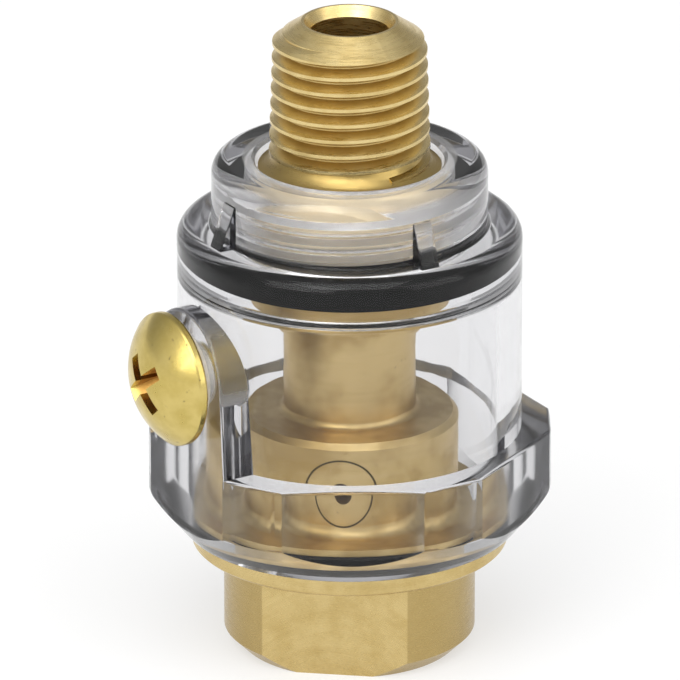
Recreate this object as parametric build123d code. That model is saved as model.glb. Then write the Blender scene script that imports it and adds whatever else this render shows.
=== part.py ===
from build123d import *
from math import acos, atan, atan2, cos, degrees, hypot, radians, sin
import os

# Air line lubricator, in millimetres. +Z is the way the air flows, from the female inlet port
# in the bottom face to the male outlet thread on top. The origin is the middle of the inlet
# port's mouth. The fill screw points along -Y, and angles about Z are counted from there,
# anticlockwise seen from above.

# Fits and play between pieces
slip_play = 0.25
seal_play = 0.05
groove_play = 0.10
thread_play = 0.12
ledge_play = 0.40
press_play = 0.03

# How a thread's ridge meets its root, and how far joined shapes run into each other
thread_sink = 0.05
thread_gap = 0.03
overlap = 1.0

# Inlet fitting, the round foot of the brass body
fitting_radius = 11.0
fitting_height = 9.4
fitting_edge = 1.4
flats_across = 18.0
flats_angle = 50.6
flange_lip = 0.9
flange_thickness = 1.7
flange_edge = 0.2

# Inlet port and air passage
inlet_bore_radius = 5.7
inlet_depth = 11.0
inlet_mouth = 0.4
drill_point_height = 1.4
passage_radius = 3.4

# Reservoir core and stem, inside the bowl
core_radius = 9.5
core_top = 22.1
core_edge = 0.5
core_cove = 1.0
ledge_thickness = 0.6
stem_radius = 5.75
stem_cove = 0.6

# Collar that the bowl screws onto
land_thickness = 2.0
land_reach = 1.1
groove_above_roof = 0.9
collar_radius = 8.95
collar_pitch = 1.5
collar_thread_depth = 0.85
collar_crest = 0.2
collar_length = 4.8
nose_radius = 7.95
nose_drop = 0.7

# Male outlet thread, 1/4-18 NPT
outlet_length = 13.2
outlet_pitch = 25.4 / 18
outlet_end_radius = 6.627
outlet_taper = 1 / 32
outlet_thread_depth = 0.98
outlet_crest = 0.3
outlet_runout = 0.47
outlet_chamfer_height = 1.65
outlet_rim_radius = 4.2
countersink_radius = 3.95
countersink_depth = 0.9
flare_radius = 2.05
flare_inner_radius = 6.2

# Bowl, one clear moulding
bowl_height = 33.8
bowl_bore_radius = 12.9
bowl_wall = 2.1
bowl_roof = 4.7
roof_cove = 1.2
shoulder_round = 1.4
mouth_bevel = 0.4
upper_bore_radius = 10.6
neck_wall = 2.93
neck_height = 5.9
neck_round = 1.4
neck_lip = 1.7
neck_hole_edge = 0.3
flat_stand = 1.5
corner_stand = 2.5
hexagon_height = 9.2
bevel_foot_inset = 0.4
bevel_top_stand = 2.6
bevel_height = 3.6
moulded_edge = 0.25
gusset_count = 4
gusset_width = 1.8
gusset_base = 1.5
gusset_height = 3.8
gusset_root = 0.2

# Seals
upper_seal_section = 2.9
base_seal_section = 2.0
seal_corner_share = 0.2

# Fill boss and its M5 truss head screw
boss_radius = 5.9
fill_height = 27.95
fill_thread_radius = 2.5
fill_pitch = 0.8
fill_thread_depth = 0.43
fill_crest = 0.12
fill_length = 6.5
fill_head_radius = 5.88
fill_head_edge = 0.8
fill_head_round = 0.3
fill_head_height = 3.45
fill_seal_thickness = 1.1
fill_seal_radius = 4.2
recess_angle = 39.3
recess_width = 1.25
recess_span = 6.2
recess_floor_span = 1.8
recess_depth = 2.6

# Metering plug and wick
plug_height = 17.7
plug_angle = 54.5
plug_radius = 2.95
plug_length = 4.0
plug_hole_radius = 0.875
wick_radius = 1.5
wick_pocket = 2.0
wick_setback = 0.3

# Heights that follow
foot_level = fitting_height + flange_thickness
bowl_top = foot_level + bowl_height
shoulder_level = bowl_top - neck_height
roof_level = shoulder_level - bowl_roof
hexagon_top = foot_level + hexagon_height
base_groove_top = foot_level + base_seal_section + groove_play
ledge_top = base_groove_top + ledge_thickness
upper_groove_bottom = roof_level + groove_above_roof
land_bottom = upper_groove_bottom - land_thickness
upper_groove_top = upper_groove_bottom + upper_seal_section + groove_play
collar_top = upper_groove_top + collar_length
nose_level = bowl_top - nose_drop
outlet_top = nose_level + outlet_length
neck_lip_level = bowl_top - neck_lip

# Radii and distances from the axis that follow
bowl_radius = bowl_bore_radius + bowl_wall
flange_radius = bowl_bore_radius + flange_lip
upper_groove_radius = upper_bore_radius - upper_seal_section - 2 * seal_play
base_groove_radius = bowl_bore_radius - base_seal_section - 2 * seal_play
ledge_radius = bowl_bore_radius - ledge_play
land_radius = upper_groove_radius + land_reach
collar_root_radius = collar_radius - collar_thread_depth
outlet_root_radius = outlet_end_radius - outlet_thread_depth
neck_hole_radius = nose_radius + slip_play
neck_thread_radius = collar_radius + thread_play
neck_radius = neck_thread_radius + neck_wall
flat_face = bowl_radius + flat_stand
corner_face = bowl_radius + corner_stand
bevel_foot_radius = bowl_radius - bevel_foot_inset
bevel_top_radius = bowl_radius + bevel_top_stand
flat_half_width = (corner_face - flat_face * cos(radians(30))) / sin(radians(30))
boss_face = flat_face
head_seat = boss_face + fill_seal_thickness


def around(angle):
    """The frame of a radial feature: Z points outwards, Y points up the part."""
    out = (sin(radians(angle)), -cos(radians(angle)), 0)
    side = (cos(radians(angle)), sin(radians(angle)), 0)
    return Plane(origin=(0, 0, 0), x_dir=side, z_dir=out)


def turned(points):
    """A solid of revolution about Z through (radius, height) corners."""
    outline = Polyline(*[(radius, 0, height) for radius, height in points], close=True)
    return revolve(make_face(outline), Axis.Z)


def rod(radius, bottom, top):
    """A cylinder about Z between two heights."""
    return Pos(0, 0, (bottom + top) / 2) * Cylinder(radius, top - bottom)


def ring(inner, outer, bottom, top):
    """A plain ring about Z."""
    return rod(outer, bottom, top) - rod(inner, bottom, top)


def cove(radius, level, size):
    """A hollow quarter round that fills the corner between a shaft and a face below."""
    start = (radius, level + size)
    middle = (radius + size * (1 - cos(radians(45))), level + size * (1 - sin(radians(45))))
    end = (radius + size, level)
    inside = Polyline(end, (radius - thread_sink, level), (radius - thread_sink, level + size), start)
    return revolve(Plane.XZ * make_face(ThreePointArc(start, middle, end) + inside), Axis.Z)


def thread(root_radius, depth, pitch, crest, bottom, top, taper=0.0):
    """A right-hand helical ridge about Z, sunk a little into a root of the given radius."""
    half_foot = pitch / 2 - thread_gap
    cone = -degrees(atan(taper))
    path = Helix(pitch, top - bottom, root_radius, center=(0, 0, bottom), cone_angle=cone)
    ridge = Polyline(
        (-thread_sink, -half_foot),
        (depth, -crest / 2),
        (depth, crest / 2),
        (-thread_sink, half_foot),
        close=True,
    )
    section = Plane(origin=path @ 0, x_dir=(1, 0, 0), z_dir=path % 0) * make_face(ridge)
    return sweep(section, path=path, is_frenet=True)


def body_blank():
    """The brass body as turned, up to its nose, without threads and bores."""
    blank = turned([
        (0, 0),
        (fitting_radius - fitting_edge, 0),
        (fitting_radius, fitting_edge),
        (fitting_radius, fitting_height),
        (flange_radius - flange_edge, fitting_height),
        (flange_radius, fitting_height + flange_edge),
        (flange_radius, foot_level - flange_edge),
        (flange_radius - flange_edge, foot_level),
        (base_groove_radius, foot_level),
        (base_groove_radius, base_groove_top),
        (ledge_radius, base_groove_top),
        (ledge_radius, ledge_top),
        (core_radius, ledge_top),
        (core_radius, core_top - core_edge),
        (core_radius - core_edge, core_top),
        (stem_radius, core_top),
        (stem_radius, land_bottom),
        (land_radius, land_bottom),
        (land_radius, upper_groove_bottom),
        (upper_groove_radius, upper_groove_bottom),
        (upper_groove_radius, upper_groove_top),
        (collar_root_radius, upper_groove_top),
        (collar_root_radius, collar_top),
        (nose_radius, collar_top),
        (nose_radius, nose_level),
        (0, nose_level),
    ])
    return blank + cove(core_radius, ledge_top, core_cove) + cove(stem_radius, core_top, stem_cove)


def outlet():
    """The male outlet: a tapered thread with a lead-in chamfer, flared out to the nose."""
    below = nose_level - overlap
    foot_radius = outlet_root_radius + outlet_length * outlet_taper
    root = turned([
        (0, below),
        (foot_radius, below),
        (foot_radius, nose_level),
        (outlet_root_radius, outlet_top),
        (0, outlet_top),
    ])
    start = nose_level + outlet_runout
    start_radius = outlet_root_radius + (outlet_top - start) * outlet_taper
    top = outlet_top + outlet_pitch / 2
    ridge = thread(start_radius, outlet_thread_depth, outlet_pitch, outlet_crest, start, top, outlet_taper)
    chamfer_foot = outlet_top - outlet_chamfer_height
    envelope = turned([
        (0, below),
        (nose_radius, below),
        (nose_radius, chamfer_foot - outlet_pitch),
        (outlet_end_radius + outlet_chamfer_height * outlet_taper, chamfer_foot),
        (outlet_rim_radius, outlet_top),
        (0, outlet_top),
    ])
    return (root + ridge) & envelope


def flare():
    """The hollow flare that joins the outlet thread to the nose."""
    reach = nose_radius - flare_inner_radius
    drop = flare_radius - (flare_radius ** 2 - (flare_radius - reach) ** 2) ** 0.5
    solid = cove(flare_inner_radius, nose_level - drop, flare_radius)
    return solid & rod(nose_radius, nose_level - drop, nose_level + flare_radius)


def air_passage():
    """The inlet port's bore, the passage through the stem and the outlet's countersink."""
    return turned([
        (0, 0),
        (inlet_bore_radius + inlet_mouth, 0),
        (inlet_bore_radius, inlet_mouth),
        (inlet_bore_radius, inlet_depth),
        (passage_radius, inlet_depth + drill_point_height),
        (passage_radius, outlet_top - countersink_depth),
        (countersink_radius, outlet_top),
        (0, outlet_top),
    ])


def wrench_flats():
    """The two slabs milled off the fitting."""
    depth = fitting_radius - flats_across / 2
    slabs = []
    for angle in (flats_angle, flats_angle + 180):
        middle = Pos(0, fitting_height / 2, flats_across / 2 + depth / 2)
        slabs.append(around(angle) * middle * Box(2 * fitting_radius, fitting_height, depth))
    return slabs


def metering_bore():
    """The pocket for the metering plug, and the wick's hole through to the air passage."""
    plug_middle = core_radius - plug_length / 2
    pocket = Pos(0, plug_height, plug_middle) * Cylinder(plug_radius + press_play, plug_length)
    hole_length = core_radius - plug_length
    hole = Pos(0, plug_height, hole_length / 2) * Cylinder(wick_radius, hole_length)
    return around(plug_angle) * (pocket + hole)


def brass_body():
    """The turned brass body: inlet fitting, core, stem, collar and outlet in one piece."""
    collar_start = upper_groove_top + collar_pitch / 2
    collar_end = collar_top - collar_pitch / 2
    collar = thread(
        collar_root_radius, collar_thread_depth, collar_pitch, collar_crest, collar_start, collar_end
    )
    solid = body_blank() + collar + outlet() + flare()
    solid -= air_passage()
    solid -= metering_bore()
    for slab in wrench_flats():
        solid -= slab
    return solid


def hexagon():
    """The bowl's gripping flange: a hexagon with cut corners and a bevelled underside."""
    flat = RegularPolygon(flat_face, 6, major_radius=False)
    cut = RegularPolygon(corner_face, 6, major_radius=False, rotation=30)
    prism = Pos(0, 0, foot_level) * extrude(flat & cut, hexagon_height)
    top_edges = prism.edges().group_by(Axis.Z)[-1]
    side_edges = prism.edges().filter_by(Axis.Z)
    prism = fillet(top_edges + side_edges, moulded_edge)
    envelope = turned([
        (0, foot_level),
        (bevel_foot_radius, foot_level),
        (bevel_top_radius, foot_level + bevel_height),
        (bevel_top_radius + bevel_height, foot_level + bevel_height),
        (bevel_top_radius + bevel_height, hexagon_top),
        (0, hexagon_top),
    ])
    return prism & envelope


def fill_boss():
    """The arch-topped pad that carries the fill screw, as wide at its foot as the hexagon's flat."""
    rise = fill_height - hexagon_top
    lean = acos(boss_radius / hypot(flat_half_width, rise)) - atan2(rise, flat_half_width)
    side = boss_radius * cos(lean)
    shoulder = fill_height + boss_radius * sin(lean)
    sides = Polyline(
        (-side, shoulder),
        (-flat_half_width, hexagon_top),
        (-flat_half_width, hexagon_top - overlap),
        (flat_half_width, hexagon_top - overlap),
        (flat_half_width, hexagon_top),
        (side, shoulder),
    )
    arch = ThreePointArc((side, shoulder), (0, fill_height + boss_radius), (-side, shoulder))
    pad = Pos(0, 0, bowl_bore_radius) * extrude(make_face(sides + arch), boss_face - bowl_bore_radius)
    return around(0) * fillet(pad.edges().group_by(Axis.Z)[-1], moulded_edge)


def gussets():
    """The small triangular webs that stiffen the neck."""
    webs = []
    for count in range(gusset_count):
        web = make_face(Polyline(
            (neck_radius - overlap, shoulder_level - gusset_root),
            (neck_radius + gusset_base, shoulder_level - gusset_root),
            (neck_radius + gusset_base, shoulder_level),
            (neck_radius, shoulder_level + gusset_height),
            (neck_radius - overlap, shoulder_level + gusset_height),
            close=True,
        ))
        web = extrude(Plane.XZ * web, gusset_width / 2, both=True)
        webs.append(Rot(0, 0, 90 + count * 360 / gusset_count) * web)
    return webs


def bowl_hollow():
    """The oil chamber, the upper seal's bore, the neck's thread bore and its top hole."""
    chamber = rod(bowl_bore_radius, foot_level, roof_level)
    chamber = fillet(chamber.edges().group_by(Axis.Z)[-1], roof_cove)
    mouth = turned([
        (0, foot_level),
        (bowl_bore_radius + mouth_bevel, foot_level),
        (bowl_bore_radius, foot_level + mouth_bevel),
        (0, foot_level + mouth_bevel),
    ])
    upper = turned([
        (0, roof_level - overlap),
        (upper_bore_radius, roof_level - overlap),
        (upper_bore_radius, upper_groove_top),
        (neck_thread_radius, upper_groove_top),
        (neck_thread_radius, neck_lip_level),
        (neck_hole_radius, neck_lip_level),
        (neck_hole_radius, bowl_top - neck_hole_edge),
        (neck_hole_radius + neck_hole_edge, bowl_top),
        (0, bowl_top),
    ])
    return chamber + mouth + upper


def oil_bowl():
    """The clear bowl, open below, with its neck, gripping hexagon and fill boss."""
    wall = rod(bowl_radius, foot_level + bevel_height, shoulder_level)
    wall = fillet(wall.edges().group_by(Axis.Z)[-1], shoulder_round)
    neck = rod(neck_radius, shoulder_level - shoulder_round, bowl_top)
    neck = fillet(neck.edges().group_by(Axis.Z)[-1], neck_round)
    solid = hexagon() + wall + neck + fill_boss()
    for web in gussets():
        solid += web
    solid -= bowl_hollow()
    screw_hole = Pos(0, fill_height, boss_face - bowl_bore_radius / 2)
    solid -= around(0) * screw_hole * Cylinder(fill_thread_radius + thread_play, bowl_bore_radius)
    return solid


def seal(inner, outer, bottom, top):
    """An O-ring as it sits in its groove, squeezed almost square."""
    solid = ring(inner, outer, bottom, top)
    return fillet(solid.edges().filter_by(GeomType.CIRCLE), seal_corner_share * (top - bottom))


def upper_seal():
    """The large O-ring between the collar and the top of the bowl."""
    inner = upper_groove_radius + seal_play
    bottom = upper_groove_bottom + groove_play / 2
    return seal(inner, inner + upper_seal_section, bottom, bottom + upper_seal_section)


def base_seal():
    """The O-ring in the corner between the base flange and the bowl's foot."""
    inner = base_groove_radius + seal_play
    return seal(inner, inner + base_seal_section, foot_level, foot_level + base_seal_section)


def fill_seal():
    """The flat washer under the fill screw's head."""
    inner = fill_thread_radius + thread_play
    washer = ring(inner, fill_seal_radius, boss_face, head_seat)
    return around(0) * Pos(0, fill_height, 0) * washer


def fill_screw():
    """The M5 truss head screw that closes the oil filling hole."""
    edge = fill_head_edge
    dome_height = fill_head_height - edge
    dome_radius = (fill_head_radius ** 2 + dome_height ** 2) / (2 * dome_height)
    half_way = fill_head_radius / 2
    half_height = fill_head_height - dome_radius + (dome_radius ** 2 - half_way ** 2) ** 0.5
    outline = Polyline((0, fill_head_height), (0, 0), (fill_head_radius, 0), (fill_head_radius, edge))
    dome = ThreePointArc((fill_head_radius, edge), (half_way, half_height), (0, fill_head_height))
    head = revolve(Plane.XZ * make_face(outline + dome), Axis.Z)
    head = fillet(head.edges().filter_by(GeomType.CIRCLE), fill_head_round)
    arm = Polyline(
        (-recess_span / 2, 0, fill_head_height),
        (-recess_floor_span / 2, 0, fill_head_height - recess_depth),
        (recess_floor_span / 2, 0, fill_head_height - recess_depth),
        (recess_span / 2, 0, fill_head_height),
        close=True,
    )
    slot = extrude(make_face(arm), recess_width / 2, both=True)
    root_radius = fill_thread_radius - fill_thread_depth
    shank = turned([
        (0, -fill_length),
        (root_radius - 2 * fill_thread_depth, -fill_length),
        (root_radius, 2 * fill_thread_depth - fill_length),
        (root_radius, 0),
        (0, 0),
    ])
    ridge_start = fill_pitch - fill_length
    ridge = thread(root_radius, fill_thread_depth, fill_pitch, fill_crest, ridge_start, -fill_pitch / 2)
    solid = head + shank + ridge
    for angle in (recess_angle, recess_angle + 90):
        solid -= Rot(0, 0, angle) * slot
    return around(0) * Pos(0, fill_height, head_seat) * solid


def metering_plug():
    """The small brass plug that holds the wick, turned flush with the core."""
    inner_end = core_radius - plug_length
    middle = Pos(0, plug_height, core_radius - plug_length / 2)
    plug = middle * (Cylinder(plug_radius, plug_length) - Cylinder(plug_hole_radius, plug_length))
    plug -= Pos(0, plug_height, inner_end + wick_pocket / 2) * Cylinder(wick_radius, wick_pocket)
    return around(plug_angle) * plug & rod(core_radius, plug_height - plug_radius, plug_height + plug_radius)


def metering_wick():
    """The felt wick that meters oil from the chamber into the air passage."""
    inner_end = passage_radius + wick_setback
    outer_end = core_radius - plug_length + wick_pocket
    wick = Cylinder(wick_radius - press_play, outer_end - inner_end)
    return around(plug_angle) * Pos(0, plug_height, (inner_end + outer_end) / 2) * wick


pieces = {
    "brass_body": brass_body,
    "oil_bowl": oil_bowl,
    "upper_seal": upper_seal,
    "base_seal": base_seal,
    "fill_screw": fill_screw,
    "fill_seal": fill_seal,
    "metering_plug": metering_plug,
    "metering_wick": metering_wick,
}

os.makedirs("parts", exist_ok=True)
for name, build in pieces.items():
    export_step(build(), f"parts/{name}.step")
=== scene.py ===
import math

import bmesh
import bpy
from mathutils import Matrix, Vector


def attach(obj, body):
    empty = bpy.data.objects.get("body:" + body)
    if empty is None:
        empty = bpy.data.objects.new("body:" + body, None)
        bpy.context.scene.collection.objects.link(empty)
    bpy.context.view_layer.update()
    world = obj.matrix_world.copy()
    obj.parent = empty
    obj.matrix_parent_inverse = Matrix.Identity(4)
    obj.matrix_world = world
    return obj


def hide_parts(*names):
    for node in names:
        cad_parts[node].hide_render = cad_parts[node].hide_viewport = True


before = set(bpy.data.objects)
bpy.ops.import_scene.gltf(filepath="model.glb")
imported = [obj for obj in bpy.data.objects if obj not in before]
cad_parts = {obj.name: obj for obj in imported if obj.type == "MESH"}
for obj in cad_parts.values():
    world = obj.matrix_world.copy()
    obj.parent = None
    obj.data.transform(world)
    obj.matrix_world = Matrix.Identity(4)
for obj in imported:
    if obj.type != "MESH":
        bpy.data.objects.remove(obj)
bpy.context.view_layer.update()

MM = 0.001

# Heights in millimetres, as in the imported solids
FITTING_HEIGHT = 9.4
FOOT_LEVEL = 11.1
HEXAGON_TOP = 20.3
ROOF_LEVEL = 34.3
COLLAR_FOOT = 38.2
SHOULDER_LEVEL = 39.0
LIP_LEVEL = 43.2
BOWL_TOP = 44.9
OUTLET_TOP = 57.4

# Radii in millimetres, and how far the hexagon's flats and corners stand from the axis
BORE_RADIUS = 12.9
UPPER_BORE_RADIUS = 10.6
BOWL_RADIUS = 15.0
NECK_RADIUS = 12.0
NECK_HOLE_RADIUS = 8.2
FLAT_FACE = 16.5
CORNER_FACE = 17.5
FLAT_HALF_WIDTH = (CORNER_FACE - FLAT_FACE * math.cos(math.radians(30))) / math.sin(math.radians(30))

# Rounds, bevels and coves of the bowl
SHOULDER_ROUND = 1.4
NECK_ROUND = 1.4
NECK_COVE = 0.3
ROOF_COVE = 0.8
MOULDED_EDGE = 0.3
INNER_EDGE = 0.2
STEP_EDGE = 0.15
NECK_HOLE_BEVEL = 0.3
MOUTH_BEVEL_WIDTH = 0.9
MOUTH_BEVEL_HEIGHT = 1.0

# The cone that bevels the hexagon from below
CONE_FOOT_RADIUS = 14.6
CONE_FOOT_ROUND = 0.5
CONE_TOP_RADIUS = 17.6
CONE_TOP_ROUND = 0.8
CONE_HEIGHT = 3.6

# Gussets against the neck
GUSSET_COUNT = 4
GUSSET_BASE = 1.5
GUSSET_TIP = 0.15
GUSSET_HEIGHT = 3.8
GUSSET_LOW_EDGE = 0.1
GUSSET_HALF_WIDTH = 0.9
GUSSET_ROUND = 0.15
GUSSET_SINK_IN_NECK = 0.6
GUSSET_SINK_IN_SHOULDER = 0.3

# The fill boss, its hole along -Y, and how far the hole's cutter reaches from its middle
FILL_HEIGHT = 27.95
BOSS_RADIUS = 5.9
FILL_HOLE_RADIUS = 2.62
FILL_HOLE_MIDDLE = 14.7
FILL_HOLE_REACH = 6.0

# The screw's dome is nearly a paraboloid: its y in metres is CURVE * radius ** 2 - TIP in metres
DOME_CURVE = 65.2
DOME_TIP = 21.05

# The metering plug's joint with the core, with its angle from -Y towards +X
PLUG_HEIGHT = 17.7
PLUG_ANGLE = 54.5
PLUG_RADIUS = 2.96

# The fitting's wrench flats, with the angle of one of them from -Y towards +X
FLATS_ANGLE = 50.6
FLAT_DISTANCE = 9.0

# Female threads: radii of groove and ridge, and a groove's height on the side of +X
COLLAR_PITCH = 1.5
COLLAR_START = 38.95
COLLAR_GROOVE_FLAT = 0.28
COLLAR_GROOVE = 9.07
COLLAR_RIDGE = 8.24
INLET_PITCH = 25.4 / 18
INLET_START = 0.7
INLET_GROOVE_FLAT = 0.2
INLET_GROOVE = 5.66
INLET_BORE = 5.7
INLET_RIDGE = 5.3
INLET_THREAD_FOOT = 0.45
INLET_THREAD_TOP = 9.5
INLET_THREAD_BEVEL = 0.3
INLET_CUT_FOOT = 0.2
INLET_CUT_TOP = 9.8
THREAD_SINK = 0.05
RIDGE_FLAT = 0.12

# O-rings, and how far they are bedded into the clear wall
BEDDING = 0.05
RING_ROUND = 0.3
UPPER_RING_INNER = 7.65
UPPER_RING_FOOT = 35.25
UPPER_RING_MIDDLE = 36.7
BASE_RING_INNER = 10.85
BASE_RING_MIDDLE = 12.0
BASE_RING_TOP = 13.1
BASE_RING_TOP_ROUND = 0.2

# The base ring's lower outer side, which keeps clear of the bevel at the bowl's mouth
BASE_RING_HEEL = (12.5, FOOT_LEVEL, 0.5)
BASE_RING_WAIST = (12.75, 12.3, RING_ROUND)
BASE_RING_WALL_FOOT = 12.5

# The male outlet thread's crest, and its taper on the radius
OUTLET_CREST = 6.627
OUTLET_TAPER = 1 / 32

# The camera fitted to the photograph: its angle from -Y towards +X, and lengths in metres
AZIMUTH = math.radians(59.0)
ELEVATION = math.radians(21.722)
DISTANCE = 0.97781
AIM_HEIGHT = 0.02783
AIM_SIDE = -0.000838
FOCAL_PIXELS = 11243.2
IMAGE_PIXELS = 680
SENSOR_WIDTH = 36

# How finely meshes are made, how far cutters run out of a shape, and a step too small to see
SEGMENTS = 192
HOLE_SEGMENTS = 64
ARC_STEPS = 6
ARCH_STEPS = 48
SHARP_ANGLE = 31
OVERRUN = 1.0
BARELY = 0.01


# Meshes

def finished(name, bm):
    """A new object from a bmesh, with outward normals."""
    bmesh.ops.recalc_face_normals(bm, faces=bm.faces)
    mesh = bpy.data.meshes.new(name)
    bm.to_mesh(mesh)
    bm.free()
    obj = bpy.data.objects.new(name, mesh)
    bpy.context.collection.objects.link(obj)
    return obj


def outline(corners):
    """Points of an outline through corners (radius, height) or (radius, height, fillet).

    The last corner has no fillet.
    """
    points = []
    for index, corner in enumerate(corners):
        here = Vector(corner[:2])
        if len(corner) == 2:
            points.append(tuple(here))
            continue
        before = (Vector(corners[index - 1][:2]) - here).normalized()
        after = (Vector(corners[index + 1][:2]) - here).normalized()
        half = before.angle(after) / 2
        centre = here + (before + after).normalized() * corner[2] / math.sin(half)
        reach = corner[2] / math.tan(half)
        start = here + before * reach - centre
        end = here + after * reach - centre
        turn = math.atan2(start.x * end.y - start.y * end.x, start.dot(end))
        for step in range(ARC_STEPS + 1):
            share = turn * step / ARC_STEPS
            spun = Vector((
                start.x * math.cos(share) - start.y * math.sin(share),
                start.x * math.sin(share) + start.y * math.cos(share),
            ))
            points.append(tuple(centre + spun))
    return points


def circle(bm, radius, heights):
    """New vertices once round a circle, one for each height."""
    row = []
    for step, height in enumerate(heights):
        angle = 2 * math.pi * step / len(heights)
        row.append(bm.verts.new((radius * math.cos(angle), radius * math.sin(angle), height)))
    return row


def lathe(name, corners, closed=False, segments=SEGMENTS):
    """A solid of revolution. An open outline starts and ends on the axis; a closed one is a ring."""
    bm = bmesh.new()
    rings = []
    for radius, height in outline(corners):
        if radius == 0:
            rings.append([bm.verts.new((0, 0, height))])
        else:
            rings.append(circle(bm, radius, [height] * segments))
    pairs = list(zip(rings, rings[1:]))
    if closed:
        pairs.append((rings[-1], rings[0]))
    for low, high in pairs:
        for step in range(segments):
            after = (step + 1) % segments
            around = [low[step % len(low)], low[after % len(low)]]
            around += [high[after % len(high)], high[step % len(high)]]
            unique = list(dict.fromkeys(around))
            if len(unique) > 2:
                bm.faces.new(unique)
    return finished(name, bm)


def slab(name, points, low, high, place=Matrix.Identity(4)):
    """A polygon in XY between two heights, moved by a matrix."""
    bm = bmesh.new()
    bottom = [bm.verts.new((x, y, low)) for x, y in points]
    top = [bm.verts.new((x, y, high)) for x, y in points]
    bm.faces.new(bottom)
    bm.faces.new(top)
    count = len(points)
    for step in range(count):
        after = (step + 1) % count
        bm.faces.new([bottom[step], bottom[after], top[after], top[step]])
    bm.transform(place)
    return finished(name, bm)


def threaded_rod(name, pitch, start, flat, crest, root, low, high):
    """A rod with a right-hand thread about Z, between two heights, that cuts a female thread."""
    profile = [
        (-flat / 2, crest),
        (flat / 2, crest),
        ((pitch - RIDGE_FLAT) / 2, root),
        ((pitch + RIDGE_FLAT) / 2, root),
    ]
    first_turn = math.floor((low - start) / pitch) - 1
    last_turn = math.ceil((high - start) / pitch) + 1
    rows = []
    bm = bmesh.new()
    for turn in range(first_turn, last_turn + 1):
        for rise, radius in profile:
            heights = [start + pitch * (turn + step / SEGMENTS) + rise for step in range(SEGMENTS)]
            rows.append(circle(bm, radius, heights))
    per_turn = len(profile)
    for index in range(len(rows) - 1):
        row = rows[index]
        above = rows[index + 1]
        for step in range(SEGMENTS - 1):
            bm.faces.new([row[step], row[step + 1], above[step + 1], above[step]])
        if index + 1 + per_turn < len(rows):
            next_row = rows[index + per_turn]
            next_above = rows[index + 1 + per_turn]
            bm.faces.new([row[-1], next_row[0], next_above[0], above[-1]])
    holes = [edge for edge in bm.edges if edge.is_boundary]
    bmesh.ops.holes_fill(bm, edges=holes)
    bmesh.ops.triangulate(bm, faces=[face for face in bm.faces if len(face.verts) > 4])
    rod = finished(name, bm)
    rim = crest + OVERRUN
    combine(rod, lathe("between", [(0, low), (rim, low), (rim, high), (0, high)]), "INTERSECT")
    return rod


def combine(obj, other, operation):
    """Boolean of two closed meshes. The second one is used up."""
    step = obj.modifiers.new("combine", "BOOLEAN")
    step.operation = operation
    step.solver = "EXACT"
    step.object = other
    bake(obj)
    bpy.data.objects.remove(other)


def bake(obj):
    """Applies an object's modifiers to its mesh."""
    graph = bpy.context.evaluated_depsgraph_get()
    mesh = bpy.data.meshes.new_from_object(obj.evaluated_get(graph))
    obj.modifiers.clear()
    obj.data = mesh


def round_edges(obj, chosen, size, steps=3):
    """Rounds the edges that chosen(edge) picks."""
    bm = bmesh.new()
    bm.from_mesh(obj.data)
    edges = [edge for edge in bm.edges if chosen(edge)]
    bmesh.ops.bevel(bm, geom=edges, offset=size, segments=steps, profile=0.5, affect="EDGES")
    bm.to_mesh(obj.data)
    bm.free()


def to_metres(obj):
    """Takes a mesh made in millimetres to the frame's metres."""
    obj.data.transform(Matrix.Scale(MM, 4))


def shade(obj):
    """Smooth shading, with edges kept sharp above an angle."""
    obj.data.shade_smooth()
    obj.data.set_sharp_from_angle(angle=math.radians(SHARP_ANGLE))
    weigh = obj.modifiers.new("normals", "WEIGHTED_NORMAL")
    weigh.keep_sharp = True
    bake(obj)


def upright():
    """Turns what is drawn in XY so that Y points up and Z points towards -Y."""
    return Matrix.Rotation(math.radians(90), 4, "X")


# The bowl

def hexagon_block():
    """The gripping flange: flats towards -Y and every 60 degrees, cut corners, bevelled below."""
    points = []
    for step in range(6):
        angle = math.radians(60 * step)
        out = (math.sin(angle), -math.cos(angle))
        along = (math.cos(angle), math.sin(angle))
        for side in (-FLAT_HALF_WIDTH, FLAT_HALF_WIDTH):
            points.append((FLAT_FACE * out[0] + side * along[0], FLAT_FACE * out[1] + side * along[1]))
    block = slab("hexagon", points, FOOT_LEVEL, HEXAGON_TOP)

    def top_edge(edge):
        return max(vert.co.z for vert in edge.verts) > HEXAGON_TOP - BARELY

    round_edges(block, top_edge, MOULDED_EDGE)
    cone = lathe("cone", [
        (0, FOOT_LEVEL),
        (CONE_FOOT_RADIUS, FOOT_LEVEL, CONE_FOOT_ROUND),
        (CONE_TOP_RADIUS, FOOT_LEVEL + CONE_HEIGHT, CONE_TOP_ROUND),
        (CONE_TOP_RADIUS, HEXAGON_TOP + OVERRUN),
        (0, HEXAGON_TOP + OVERRUN),
    ])
    combine(block, cone, "INTERSECT")
    return block


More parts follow.
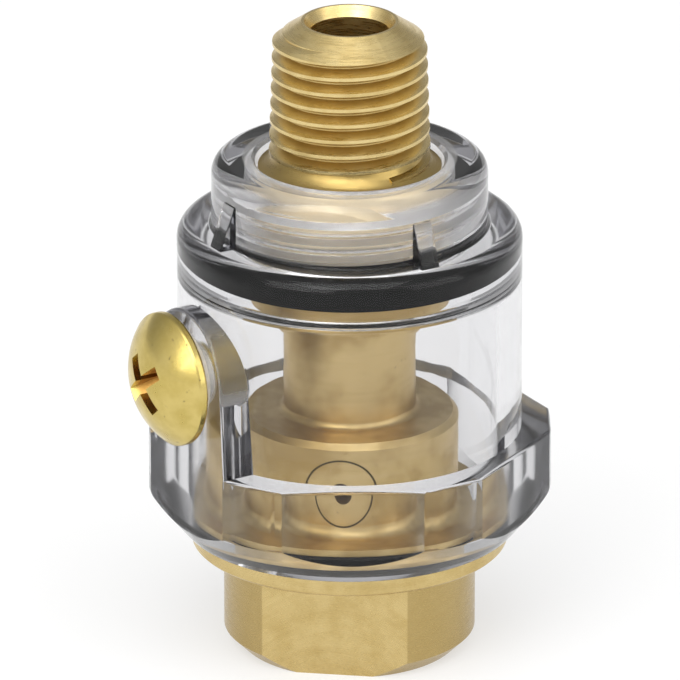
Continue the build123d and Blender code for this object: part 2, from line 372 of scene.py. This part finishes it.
def boss_block():
    """The arch-topped pad for the fill screw, as wide at its foot as the hexagon's flat."""
    rise = FILL_HEIGHT - HEXAGON_TOP
    lean = math.acos(BOSS_RADIUS / math.hypot(FLAT_HALF_WIDTH, rise)) - math.atan2(rise, FLAT_HALF_WIDTH)
    points = [
        (-FLAT_HALF_WIDTH, HEXAGON_TOP - OVERRUN),
        (FLAT_HALF_WIDTH, HEXAGON_TOP - OVERRUN),
        (FLAT_HALF_WIDTH, HEXAGON_TOP),
    ]
    for step in range(ARCH_STEPS + 1):
        angle = lean + (math.pi - 2 * lean) * step / ARCH_STEPS
        points.append((BOSS_RADIUS * math.cos(angle), FILL_HEIGHT + BOSS_RADIUS * math.sin(angle)))
    points.append((-FLAT_HALF_WIDTH, HEXAGON_TOP))
    in_wall = BORE_RADIUS + 0.5
    face = FLAT_FACE - BARELY
    block = slab("boss", points, in_wall, face, upright())

    def face_edge(edge):
        return max(vert.co.y for vert in edge.verts) < -face + BARELY

    round_edges(block, face_edge, MOULDED_EDGE)
    return block


def gusset(turn):
    """One triangular web against the neck."""
    root = NECK_RADIUS - GUSSET_SINK_IN_NECK
    foot = SHOULDER_LEVEL - GUSSET_SINK_IN_SHOULDER
    tip = SHOULDER_LEVEL + GUSSET_HEIGHT
    points = [
        (root, foot),
        (NECK_RADIUS + GUSSET_BASE, foot),
        (NECK_RADIUS + GUSSET_BASE, SHOULDER_LEVEL + GUSSET_LOW_EDGE),
        (NECK_RADIUS + GUSSET_TIP, tip),
        (root, tip),
    ]
    place = Matrix.Rotation(turn, 4, "Z") @ upright()
    web = slab("gusset", points, -GUSSET_HALF_WIDTH, GUSSET_HALF_WIDTH, place)
    round_edges(web, lambda edge: True, GUSSET_ROUND, 2)
    return web


def bowl_hollow():
    """The bowl's inside: mouth bevel, bore, roof, seal bore, thread bore and neck hole."""
    bevel_slope = MOUTH_BEVEL_WIDTH / MOUTH_BEVEL_HEIGHT
    return lathe("hollow", [
        (0, FOOT_LEVEL - OVERRUN),
        (BORE_RADIUS + MOUTH_BEVEL_WIDTH + bevel_slope * OVERRUN, FOOT_LEVEL - OVERRUN),
        (BORE_RADIUS, FOOT_LEVEL + MOUTH_BEVEL_HEIGHT),
        (BORE_RADIUS, ROOF_LEVEL, ROOF_COVE),
        (UPPER_BORE_RADIUS, ROOF_LEVEL, INNER_EDGE),
        (UPPER_BORE_RADIUS, COLLAR_FOOT, STEP_EDGE),
        (COLLAR_RIDGE, COLLAR_FOOT),
        (NECK_HOLE_RADIUS, LIP_LEVEL),
        (NECK_HOLE_RADIUS, BOWL_TOP - NECK_HOLE_BEVEL, INNER_EDGE),
        (NECK_HOLE_RADIUS + NECK_HOLE_BEVEL + OVERRUN, BOWL_TOP + OVERRUN),
        (0, BOWL_TOP + OVERRUN),
    ])


def fill_hole():
    """The hole for the fill screw, through the boss and the wall."""
    hole = lathe("fill_hole", [
        (0, -FILL_HOLE_REACH),
        (FILL_HOLE_RADIUS, -FILL_HOLE_REACH),
        (FILL_HOLE_RADIUS, FILL_HOLE_REACH),
        (0, FILL_HOLE_REACH),
    ], segments=HOLE_SEGMENTS)
    hole.data.transform(Matrix.Translation((0, -FILL_HOLE_MIDDLE, FILL_HEIGHT)) @ upright())
    return hole


def bowl():
    """The clear bowl, with the female thread in its neck."""
    inside_hexagon = FOOT_LEVEL + 3.4
    body = lathe("clear_bowl", [
        (0, inside_hexagon),
        (BOWL_RADIUS, inside_hexagon),
        (BOWL_RADIUS, SHOULDER_LEVEL, SHOULDER_ROUND),
        (NECK_RADIUS, SHOULDER_LEVEL, NECK_COVE),
        (NECK_RADIUS, BOWL_TOP, NECK_ROUND),
        (0, BOWL_TOP),
    ])
    combine(body, hexagon_block(), "UNION")
    combine(body, boss_block(), "UNION")
    for step in range(GUSSET_COUNT):
        combine(body, gusset(2 * math.pi * step / GUSSET_COUNT), "UNION")
    combine(body, bowl_hollow(), "DIFFERENCE")
    thread = threaded_rod(
        "collar_thread", COLLAR_PITCH, COLLAR_START, COLLAR_GROOVE_FLAT,
        crest=COLLAR_GROOVE, root=COLLAR_RIDGE - 2 * THREAD_SINK,
        low=COLLAR_FOOT - OVERRUN / 2, high=LIP_LEVEL,
    )
    combine(body, thread, "DIFFERENCE")
    combine(body, fill_hole(), "DIFFERENCE")
    to_metres(body)
    shade(body)
    return body


def inlet_thread():
    """The inlet port's female thread, as ridges that stand on the wall of its bore."""
    rim = INLET_BORE + THREAD_SINK
    liner = lathe("inlet_thread", [
        (rim, INLET_THREAD_FOOT),
        (rim, INLET_THREAD_TOP),
        (INLET_RIDGE, INLET_THREAD_TOP - INLET_THREAD_BEVEL),
        (INLET_RIDGE, INLET_THREAD_FOOT + INLET_BORE - INLET_RIDGE),
    ], closed=True)
    cut = threaded_rod(
        "inlet_cut", INLET_PITCH, INLET_START, INLET_GROOVE_FLAT,
        crest=INLET_GROOVE, root=INLET_RIDGE - THREAD_SINK,
        low=INLET_CUT_FOOT, high=INLET_CUT_TOP,
    )
    combine(liner, cut, "DIFFERENCE")
    to_metres(liner)
    shade(liner)
    return liner


def seal_ring(name, corners):
    """An O-ring as pressed into its groove, without air between it and the clear wall."""
    ring = lathe(name, corners, closed=True)
    to_metres(ring)
    ring.data.shade_smooth()
    return ring


def upper_ring():
    """The large O-ring under the step at the collar's foot."""
    outer = UPPER_BORE_RADIUS + BEDDING
    top = COLLAR_FOOT + BEDDING
    return seal_ring("upper_o_ring", [
        (UPPER_RING_INNER, UPPER_RING_FOOT, RING_ROUND),
        (outer, UPPER_RING_FOOT, BEDDING),
        (outer, top, BEDDING),
        (UPPER_RING_INNER, top, RING_ROUND),
        (UPPER_RING_INNER, UPPER_RING_MIDDLE),
    ])


def base_ring():
    """The O-ring in the corner between the flange and the bowl's foot."""
    outer = BORE_RADIUS + BEDDING
    return seal_ring("base_o_ring", [
        (BASE_RING_INNER, FOOT_LEVEL, RING_ROUND),
        BASE_RING_HEEL,
        BASE_RING_WAIST,
        (outer, BASE_RING_WALL_FOOT),
        (outer, BASE_RING_TOP, BASE_RING_TOP_ROUND),
        (BASE_RING_INNER, BASE_RING_TOP, RING_ROUND),
        (BASE_RING_INNER, BASE_RING_MIDDLE),
    ])


# Materials

def rgb(red, green, blue):
    return (red, green, blue, 1.0)


class Paint:
    """A node material with short calls for its nodes and links."""

    def __init__(self, name):
        self.material = bpy.data.materials.new(name)
        self.material.use_nodes = True
        self.tree = self.material.node_tree
        self.tree.nodes.clear()
        self.output = self.node("ShaderNodeOutputMaterial")
        self.shader = self.node("ShaderNodeBsdfPrincipled")
        self.link(self.shader.outputs[0], self.output.inputs["Surface"])
        self.place = self.node("ShaderNodeTexCoord").outputs["Object"]

    def node(self, kind, **settings):
        made = self.tree.nodes.new(kind)
        for key, value in settings.items():
            setattr(made, key, value)
        return made

    def link(self, source, socket):
        self.tree.links.new(source, socket)

    def fill(self, socket, value):
        """Links a socket or sets a number."""
        if isinstance(value, bpy.types.NodeSocket):
            self.link(value, socket)
        else:
            socket.default_value = value

    def set(self, **values):
        """Sets or links inputs of the main shader."""
        for key, value in values.items():
            self.fill(self.shader.inputs[key.replace("_", " ")], value)

    def math(self, operation, *values):
        made = self.node("ShaderNodeMath", operation=operation)
        for socket, value in zip(made.inputs, values):
            self.fill(socket, value)
        return made.outputs[0]

    def times(self, first, *others):
        for other in others:
            first = self.math("MULTIPLY", first, other)
        return first

    def plus(self, first, second):
        return self.math("ADD", first, second)

    def minus(self, first, second):
        return self.math("SUBTRACT", first, second)

    def most(self, first, second):
        """The larger of two values."""
        return self.math("MAXIMUM", first, second)

    def length(self, first, second):
        """The length of a vector with two parts."""
        return self.math("SQRT", self.plus(self.times(first, first), self.times(second, second)))

    def towards(self, x, y, angle):
        """How far a point lies out along an angle in degrees, from -Y towards +X."""
        way = math.radians(angle)
        return self.minus(self.times(x, math.sin(way)), self.times(y, math.cos(way)))

    def split(self, vector):
        made = self.node("ShaderNodeSeparateXYZ")
        self.link(vector, made.inputs[0])
        return made.outputs

    def join(self, *parts):
        made = self.node("ShaderNodeCombineXYZ")
        for socket, value in zip(made.inputs, parts):
            self.fill(socket, value)
        return made.outputs[0]

    def ramp(self, value, low, high, start=0.0, end=1.0):
        """Goes smoothly from start to end while a value goes from low to high."""
        made = self.node("ShaderNodeMapRange", interpolation_type="SMOOTHSTEP", clamp=True)
        for socket, number in zip(made.inputs, (value, low, high, start, end)):
            self.fill(socket, number)
        return made.outputs[0]

    def zone(self, measure, *limits):
        """1 where a length in metres is past all limits, each from none to full in millimetres."""
        return self.times(*[self.ramp(measure, none * MM, full * MM) for none, full in limits])

    def noise(self, scale, detail, roughness, vector=None):
        made = self.node("ShaderNodeTexNoise")
        self.link(self.place if vector is None else vector, made.inputs["Vector"])
        made.inputs["Scale"].default_value = scale
        made.inputs["Detail"].default_value = detail
        made.inputs["Roughness"].default_value = roughness
        return made.outputs[0]

    def mix(self, share, first, second):
        made = self.node("ShaderNodeMix", data_type="RGBA")
        self.fill(made.inputs[0], share)
        self.fill(made.inputs[6], first)
        self.fill(made.inputs[7], second)
        return made.outputs[2]

    def coat(self, under, zone, colour, share=1.0):
        """Lays a share of one more colour over another within a zone."""
        return self.mix(self.times(zone, share), under, colour)

    def bump(self, height, distance, strength, normal=None):
        made = self.node("ShaderNodeBump")
        made.inputs["Strength"].default_value = strength
        made.inputs["Distance"].default_value = distance
        self.link(height, made.inputs["Height"])
        if normal is not None:
            self.link(normal, made.inputs["Normal"])
        return made.outputs[0]

    def choose(self, share, first, second):
        """Shows a share of the second shader in place of the first."""
        made = self.node("ShaderNodeMixShader")
        for socket, value in zip(made.inputs, (share, first, second)):
            self.link(value, socket)
        self.link(made.outputs[0], self.output.inputs["Surface"])


# Colours of the turned brass
BRIGHT_BRASS = (rgb(0.60, 0.46, 0.205), rgb(0.52, 0.385, 0.155))
DULL_BRASS = (rgb(0.62, 0.465, 0.215), rgb(0.44, 0.305, 0.115))
OUTLET_BRASS = (rgb(0.72, 0.57, 0.27), rgb(0.62, 0.47, 0.20))
# Painted shade on the fitting's turned wall
WALL_SHADE_BRASS = rgb(0.40, 0.29, 0.115)
# Painted light: a pale coat on the collar for the light that the frosted neck scatters
COLLAR_PAINTED_LIGHT = rgb(0.88, 0.75, 0.50)
# Painted shade on the nose ring at the outlet's foot, which faces up
FLARE_SHADE_BRASS = rgb(0.38, 0.27, 0.09)
# Painted shade in the roots of the outlet thread
THREAD_ROOT_SHADE = rgb(0.36, 0.24, 0.07)
TOOL_MARK = rgb(0.42, 0.29, 0.10)
SPOT = rgb(0.16, 0.11, 0.05)
JOINT = rgb(0.05, 0.035, 0.015)

# Limits of its zones in millimetres, each from none to full
INSIDE_BOWL = ((10.8, 11.4), (44.8, 44.0))
# Below the flange and off the milled flats, the fitting's wall gets painted shade
BELOW_FLANGE = (FITTING_HEIGHT - 0.1, FITTING_HEIGHT - 0.3)
MILLED_FLAT = (FLAT_DISTANCE - 0.10, FLAT_DISTANCE - 0.02)
# Where the collar gets painted light
COLLAR_LIGHT_BAND = ((38.1, 38.4), (43.4, 43.1))
# Where the nose ring gets painted shade
FLARE_SHADE_BAND = ((44.0, 44.2), (46.0, 45.5))
ABOVE_FLARE = (45.5, 46.0)
OUTLET_THREAD = ((45.5, 46.2), (56.2, 55.6))
OUTSIDE_PASSAGE = (4.0, 5.0)
# How far below the crest the painted shade in the thread's roots sets in
ROOT_SHADE_DEPTH = (0.15, 0.85)
ON_JOINT = (0.12, 0.05)
CORE_SKIN = ((9.2, 9.4), (9.8, 9.6))
PLUG_SIDE = (0.0, 1.0)


def outlet_groove_shade(paint, z, radius):
    """1 deep between the crests of the outlet's tapered thread, and 0 on them: where shade is painted
    into the thread's roots, which are also rougher.
    """
    crest = paint.math("MULTIPLY_ADD", z, -OUTLET_TAPER, (OUTLET_CREST + OUTLET_TOP * OUTLET_TAPER) * MM)
    depth = paint.zone(paint.minus(crest, radius), ROOT_SHADE_DEPTH)
    return paint.times(depth, paint.zone(z, *OUTLET_THREAD), paint.zone(radius, OUTSIDE_PASSAGE))


def plug_joint(paint, x, y, z, radius):
    """The fine dark ring where the metering plug sits in the core."""
    aside = paint.towards(x, y, PLUG_ANGLE + 90)
    from_middle = paint.length(aside, paint.minus(z, PLUG_HEIGHT * MM))
    off_joint = paint.math("ABSOLUTE", paint.minus(from_middle, PLUG_RADIUS * MM))
    on_side = paint.zone(paint.towards(x, y, PLUG_ANGLE), PLUG_SIDE)
    return paint.times(paint.zone(off_joint, ON_JOINT), paint.zone(radius, *CORE_SKIN), on_side)


def turned_brass():
    """Satin turned brass: bright at the outlet and the foot, duller and tanner inside the bowl, with
    painted light on the collar and painted shade on the fitting's wall, the nose ring and the thread's
    roots.
    """
    paint = Paint("turned_brass")
    x, y, z = paint.split(paint.place)
    radius = paint.length(x, y)
    inside = paint.zone(z, *INSIDE_BOWL)
    groove = outlet_groove_shade(paint, z, radius)

    # Turning marks run round the axis, on walls as on level faces
    stretch = 0.06
    level_scale = 1.3
    height = paint.plus(z, paint.times(radius, level_scale))
    line = paint.join(paint.times(x, stretch), paint.times(y, stretch), height)
    fine = paint.noise(scale=9000, detail=2, roughness=0.6, vector=line)
    coarse = paint.noise(scale=1800, detail=3, roughness=0.6, vector=line)
    mottle = paint.ramp(paint.noise(scale=420, detail=4, roughness=0.6), 0.35, 0.7)
    stain = paint.ramp(paint.noise(scale=160, detail=3, roughness=0.55), 0.4, 0.62)
    spots = paint.ramp(paint.noise(scale=2400, detail=2, roughness=0.5), 0.70, 0.78)

    # Painted shade: the fitting's turned wall below the flange is darkened, and the milled flats are left
    # paler
    off_axis = paint.math("ABSOLUTE", paint.towards(x, y, FLATS_ANGLE))
    shaded_wall = paint.minus(paint.zone(z, BELOW_FLANGE), paint.zone(off_axis, MILLED_FLAT))
    shaded_wall = paint.most(shaded_wall, 0.0)
    bright = paint.coat(paint.mix(mottle, *BRIGHT_BRASS), shaded_wall, WALL_SHADE_BRASS, 0.75)
    colour = paint.mix(inside, bright, paint.mix(stain, *DULL_BRASS))
    colour = paint.coat(colour, paint.times(inside, spots), SPOT, 0.6)
    # Painted light on the collar, standing in for the glow of the frosted neck
    colour = paint.coat(colour, paint.zone(z, *COLLAR_LIGHT_BAND), COLLAR_PAINTED_LIGHT, 0.8)
    colour = paint.mix(paint.zone(z, ABOVE_FLARE), colour, paint.mix(mottle, *OUTLET_BRASS))
    # Painted shade on the upward-facing nose ring at the outlet's foot
    colour = paint.coat(colour, paint.zone(z, *FLARE_SHADE_BAND), FLARE_SHADE_BRASS, 0.9)
    colour = paint.coat(colour, paint.ramp(coarse, 0.45, 0.75), TOOL_MARK, 0.2)
    # Painted shade in the roots of the outlet thread
    colour = paint.coat(colour, groove, THREAD_ROOT_SHADE, 0.45)
    colour = paint.coat(colour, plug_joint(paint, x, y, z, radius), JOINT, 0.9)

    rough = paint.plus(paint.ramp(fine, 0.3, 0.7, 0.22, 0.36), paint.times(inside, 0.12))
    rough = paint.plus(rough, paint.times(groove, 0.15))
    normal = paint.bump(fine, distance=0.000012, strength=0.6)
    normal = paint.bump(coarse, distance=0.00003, strength=0.5, normal=normal)
    paint.set(Base_Color=colour, Metallic=1.0, Roughness=rough, Normal=normal)
    return paint.material


def polished_brass():
    """The fill screw: brighter yellow, with painted orange-brown shade in its recess and small dark
    specks.
    """
    yellow = (rgb(0.62, 0.49, 0.17), rgb(0.53, 0.41, 0.12))
    dark = rgb(0.20, 0.15, 0.06)
    # Painted shade for the recess
    orange = rgb(0.46, 0.26, 0.07)
    below_dome = (0.2, 0.9)
    recess_reach = (3.6, 3.0)
    in_head = (-17.8, -18.0)

    paint = Paint("polished_brass")
    x, y, z = paint.split(paint.place)
    radius = paint.length(x, paint.minus(z, FILL_HEIGHT * MM))
    dome = paint.math("MULTIPLY_ADD", paint.times(radius, radius), DOME_CURVE, -DOME_TIP * MM)
    # The recess, which gets painted shade and more roughness
    deep = paint.times(
        paint.zone(paint.minus(y, dome), below_dome),
        paint.zone(radius, recess_reach),
        paint.zone(y, in_head),
    )
    speck = paint.ramp(paint.noise(scale=1500, detail=2, roughness=0.5), 0.70, 0.76)
    cloud = paint.noise(scale=500, detail=3, roughness=0.6)
    colour = paint.mix(paint.ramp(cloud, 0.3, 0.7), *yellow)
    colour = paint.coat(colour, speck, dark, 0.7)
    # Painted shade in the recess
    colour = paint.coat(colour, deep, orange)
    rough = paint.math("MULTIPLY_ADD", deep, 0.15, paint.ramp(cloud, 0.3, 0.7, 0.18, 0.28))
    normal = paint.bump(paint.noise(scale=2500, detail=3, roughness=0.6), distance=0.00002, strength=0.35)
    paint.set(Base_Color=colour, Metallic=1.0, Roughness=rough, Normal=normal)
    return paint.material


# Limits of the clear plastic's zones in millimetres, each from none to full
NECK_THREAD_RADIUS = (9.4, 9.2)
NECK_THREAD_HEIGHT = (38.1, 38.3)
FILL_HOLE_WALL = (2.9, 2.8)
FILL_HOLE_DEPTH = (-12.0, -12.5)
SHOULDER_RADIUS = (12.3, 12.6)
SHOULDER_HEIGHT = (37.2, 37.6)
PAD_FACE = (-15.2, -15.5)
PAD_HEIGHT = (20.4, 20.8)
HEXAGON_RADIUS = (15.05, 15.1)
HEXAGON_HEIGHT = (20.4, 20.3)
SHORT_OF_CLEAR_FACE = (14.0, 12.5)

# The one face of the hexagon that is still clear, by its angle from -Y towards +X
CLEAR_FACE_ANGLE = 60.0


def frosted_and_dulled(paint):
    """Where the plastic is frosted, in the neck and in the fill hole, and where it is dulled."""
    x, y, z = paint.split(paint.place)
    across = paint.length(x, y)
    aside = paint.length(x, paint.minus(z, FILL_HEIGHT * MM))
    # The tap has frosted the threads
    neck = paint.times(paint.zone(across, NECK_THREAD_RADIUS), paint.zone(z, NECK_THREAD_HEIGHT))
    hole = paint.times(paint.zone(aside, FILL_HOLE_WALL), paint.zone(y, FILL_HOLE_DEPTH))
    # Handling has dulled the shoulder, the pad and most of the hexagon's faces
    shoulder = paint.times(paint.zone(across, SHOULDER_RADIUS), paint.zone(z, SHOULDER_HEIGHT))
    pad = paint.times(paint.zone(y, PAD_FACE), paint.zone(z, PAD_HEIGHT))
    faces = paint.times(paint.zone(across, HEXAGON_RADIUS), paint.zone(z, HEXAGON_HEIGHT))
    faces = paint.times(faces, paint.zone(paint.towards(x, y, CLEAR_FACE_ANGLE), SHORT_OF_CLEAR_FACE))
    return neck, hole, paint.most(paint.most(shoulder, pad), faces)


def clear_plastic():
    """Clear polycarbonate. Rays from lamps pass straight through, so that what is inside is lit."""
    paint = Paint("clear_plastic")
    neck, hole, dulled = frosted_and_dulled(paint)
    frost = paint.most(neck, hole)
    rough = paint.ramp(paint.noise(scale=300, detail=3, roughness=0.6), 0.35, 0.75, 0.01, 0.05)
    rough = paint.math("MULTIPLY_ADD", dulled, 0.12, rough)
    rough = paint.plus(rough, paint.times(frost, 0.2))
    rough = paint.plus(rough, paint.times(hole, 0.4))
    normal = paint.bump(paint.noise(scale=220, detail=2, roughness=0.5), distance=0.00006, strength=0.3)
    paint.set(Base_Color=rgb(0.95, 0.95, 0.955), IOR=1.58, Roughness=rough, Normal=normal)
    paint.set(Specular_Tint=rgb(0.4, 0.4, 0.4))
    paint.set(Transmission_Weight=paint.math("MULTIPLY_ADD", neck, -0.12, 1.0))
    body = paint.node("ShaderNodeVolumeAbsorption")
    body.inputs["Color"].default_value = rgb(0.65, 0.65, 0.67)
    body.inputs["Density"].default_value = 90.0
    paint.link(body.outputs[0], paint.output.inputs["Volume"])
    through = paint.node("ShaderNodeBsdfTransparent")
    through.inputs["Color"].default_value = rgb(0.9, 0.9, 0.9)
    ray = paint.node("ShaderNodeLightPath")
    paint.choose(ray.outputs["Is Shadow Ray"], paint.shader.outputs[0], through.outputs[0])
    return paint.material


def black_rubber():
    """Smooth black nitrile rubber."""
    paint = Paint("black_rubber")
    grain = paint.noise(scale=1800, detail=3, roughness=0.6)
    colour = paint.mix(paint.ramp(grain, 0.3, 0.7), rgb(0.003, 0.003, 0.003), rgb(0.006, 0.006, 0.006))
    rough = paint.ramp(grain, 0.3, 0.7, 0.28, 0.42)
    normal = paint.bump(grain, distance=0.00001, strength=0.3)
    paint.set(Base_Color=colour, Roughness=rough, Specular_IOR_Level=0.05, Normal=normal)
    return paint.material


def nylon():
    """The washer's pale waxy nylon."""
    paint = Paint("pale_nylon")
    grain = paint.noise(scale=1500, detail=3, roughness=0.6)
    colour = paint.mix(paint.ramp(grain, 0.3, 0.7), rgb(0.62, 0.58, 0.50), rgb(0.52, 0.48, 0.40))
    normal = paint.bump(grain, distance=0.00002, strength=0.4)
    paint.set(Base_Color=colour, Roughness=0.45, Normal=normal)
    return paint.material


def felt():
    """Oily felt."""
    paint = Paint("felt")
    fluff = paint.noise(scale=4000, detail=5, roughness=0.75)
    colour = paint.mix(fluff, rgb(0.05, 0.03, 0.015), rgb(0.20, 0.13, 0.07))
    normal = paint.bump(fluff, distance=0.0001, strength=0.8)
    paint.set(Base_Color=colour, Roughness=0.9, Normal=normal)
    return paint.material


def studio_white(own_share):
    """The floor: white to the camera, to reflections and through glass, with the shadow kept."""
    paint = Paint("floor_white")
    paint.set(Base_Color=rgb(0.86, 0.86, 0.86), Roughness=0.7)
    glow = paint.node("ShaderNodeEmission")
    glow.inputs["Color"].default_value = rgb(1, 1, 1)
    glow.inputs["Strength"].default_value = 1.0
    ray = paint.node("ShaderNodeLightPath")
    seen = paint.most(ray.outputs["Is Camera Ray"], ray.outputs["Is Glossy Ray"])
    seen = paint.most(seen, ray.outputs["Is Transmission Ray"])
    paint.choose(paint.times(seen, 1 - own_share), paint.shader.outputs[0], glow.outputs[0])
    return paint.material


def dress(name, material):
    """Puts a material in every slot of a CAD node."""
    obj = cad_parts[name]
    for place in obj.material_slots:
        place.material = material
    if not obj.material_slots:
        obj.data.materials.append(material)


def add_piece(obj, body, material, replaced=None):
    """Finishes a new piece that rides a body and may stand for a CAD node."""
    obj.data.materials.clear()
    obj.data.materials.append(material)
    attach(obj, body)
    if replaced:
        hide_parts(replaced)


# Studio

def toward_side(azimuth, elevation):
    """A direction by angles in radians. Azimuth 0 is on the camera's side."""
    turn = AZIMUTH + azimuth
    return Vector((
        math.sin(turn) * math.cos(elevation),
        -math.cos(turn) * math.cos(elevation),
        math.sin(elevation),
    ))


def set_camera():
    """The camera at the photograph's angle."""
    aim = Vector((0, 0, AIM_HEIGHT)) + Vector((math.cos(AZIMUTH), math.sin(AZIMUTH), 0)) * AIM_SIDE
    back = toward_side(0, ELEVATION)
    data = bpy.data.cameras.new("camera")
    data.sensor_width = SENSOR_WIDTH
    data.lens = SENSOR_WIDTH * FOCAL_PIXELS / IMAGE_PIXELS
    obj = bpy.data.objects.new("camera", data)
    obj.location = aim + back * DISTANCE
    obj.rotation_euler = back.to_track_quat("Z", "Y").to_euler()
    bpy.context.collection.objects.link(obj)
    bpy.context.scene.camera = obj


def share_of_sky(tree, sky, way, low, high, least):
    """Rises from least to 1 as the direction turns from low to high along a way."""
    along = tree.nodes.new("ShaderNodeVectorMath")
    along.operation = "DOT_PRODUCT"
    along.inputs[1].default_value = way
    tree.links.new(sky.outputs["Generated"], along.inputs[0])
    grade = tree.nodes.new("ShaderNodeMapRange")
    grade.interpolation_type = "SMOOTHSTEP"
    for socket, number in zip(list(grade.inputs)[1:5], (low, high, least, 1.0)):
        socket.default_value = number
    tree.links.new(along.outputs["Value"], grade.inputs[0])
    return grade.outputs[0]


def set_world():
    """A white wall all round, and a ceiling that darkens away from the photographed side."""
    world = bpy.data.worlds.new("world")
    bpy.context.scene.world = world
    world.use_nodes = True
    tree = world.node_tree
    tree.nodes.clear()
    out = tree.nodes.new("ShaderNodeOutputWorld")
    lit = tree.nodes.new("ShaderNodeBackground")
    lit.inputs["Color"].default_value = rgb(1, 1, 1)
    sky = tree.nodes.new("ShaderNodeTexCoord")
    photographed_side = (math.sin(AZIMUTH), -math.cos(AZIMUTH), 0.35)
    ceiling = share_of_sky(tree, sky, photographed_side, low=-0.5, high=0.6, least=0.42)
    wall = share_of_sky(tree, sky, (0, 0, -1), low=-0.22, high=-0.10, least=0.0)
    brighter = tree.nodes.new("ShaderNodeMath")
    brighter.operation = "MAXIMUM"
    tree.links.new(ceiling, brighter.inputs[0])
    tree.links.new(wall, brighter.inputs[1])
    tree.links.new(brighter.outputs[0], lit.inputs["Strength"])
    tree.links.new(lit.outputs[0], out.inputs["Surface"])


def lamp(name, azimuth, elevation, distance, size, power):
    """A square soft lamp that looks at the object, placed by angles in degrees."""
    way = toward_side(math.radians(azimuth), math.radians(elevation))
    data = bpy.data.lights.new(name, "AREA")
    data.size = size
    data.energy = power
    obj = bpy.data.objects.new(name, data)
    obj.location = Vector((0, 0, 0.03)) + way * distance
    obj.rotation_euler = way.to_track_quat("Z", "Y").to_euler()
    bpy.context.collection.objects.link(obj)


set_camera()
bpy.context.scene.view_settings.view_transform = "Standard"

# Light bounces many times inside the clear bowl
bounces = bpy.context.scene.cycles
bounces.max_bounces = 24
bounces.glossy_bounces = 20
bounces.transmission_bounces = 20

# Pieces
brass = turned_brass()
rubber = black_rubber()
dress("brass_body", brass)
dress("metering_plug", brass)
dress("fill_screw", polished_brass())
dress("fill_seal", nylon())
dress("metering_wick", felt())

add_piece(bowl(), "bowl", clear_plastic(), "oil_bowl")
add_piece(upper_ring(), "fitting", rubber, "upper_seal")
add_piece(base_ring(), "bowl_seal", rubber, "base_seal")
add_piece(inlet_thread(), "fitting", brass)

# Floor, world and lamps
floor = slab("floor", [(-3, -3), (3, -3), (3, 3), (-3, 3)], -0.01, 0.0)
floor.data.materials.append(studio_white(own_share=0.45))
set_world()
lamp("key", azimuth=-35, elevation=35, distance=1.0, size=0.8, power=4.0)
lamp("fill", azimuth=60, elevation=25, distance=1.0, size=0.7, power=1.8)
lamp("top", azimuth=0, elevation=62, distance=1.0, size=0.9, power=5.0)
